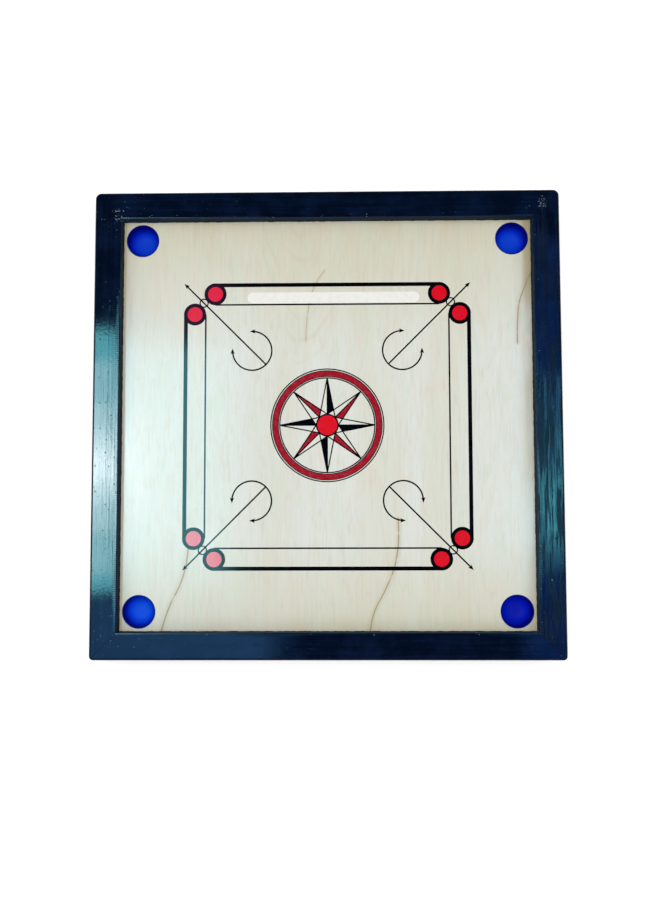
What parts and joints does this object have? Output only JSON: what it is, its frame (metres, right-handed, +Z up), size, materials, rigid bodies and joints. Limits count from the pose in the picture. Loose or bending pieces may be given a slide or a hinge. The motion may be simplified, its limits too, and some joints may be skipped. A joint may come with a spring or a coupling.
{
  "type": "carrom board",
  "caption": "Square board for a finger-flick disc game: plywood playing surface in a raised mitred frame with a moulded pocket in each corner.",
  "frame": {"origin": "centre of the board's footprint, on the underside it rests on", "axes": "+Z up, out of the playing surface; -Y towards the front edge; +X to the right"},
  "size_m": [0.66, 0.66, 0.05],
  "materials": {
    "frame_paint": "brushed gloss enamel, dark navy, on solid wood",
    "playing_ply": "pale birch plywood under clear lacquer",
    "pocket_plastic": "royal blue moulded plastic",
    "raw_timber": "planed softwood, unfinished",
    "nail_steel": "steel nails, heads painted over with the frame",
    "screw_steel": "zinc-plated steel",
    "ink_black": "black printed ink",
    "ink_red": "red printed ink",
    "ink_cream": "pale cream printed patch, bare"
  },
  "bodies": {
    "root": {"rail_front": "frame_paint", "rail_back": "frame_paint", "rail_left": "frame_paint", "rail_right": "frame_paint", "playing_panel": "playing_ply", "pocket_cup_front_left": "pocket_plastic", "pocket_cup_front_right": "pocket_plastic", "pocket_cup_back_left": "pocket_plastic", "pocket_cup_back_right": "pocket_plastic", "batten_lengthwise": "raw_timber", "batten_crosswise": "raw_timber", "ledger_right_front": "raw_timber", "ledger_right_back": "raw_timber", "ledger_back_right": "raw_timber", "ledger_back_left": "raw_timber", "ledger_left_back": "raw_timber", "ledger_left_front": "raw_timber", "ledger_front_left": "raw_timber", "ledger_front_right": "raw_timber", "frame_nails": "nail_steel", "ledger_screws": "screw_steel", "pocket_screws": "screw_steel", "lap_screw": "screw_steel"}
  },
  "joints": []
}
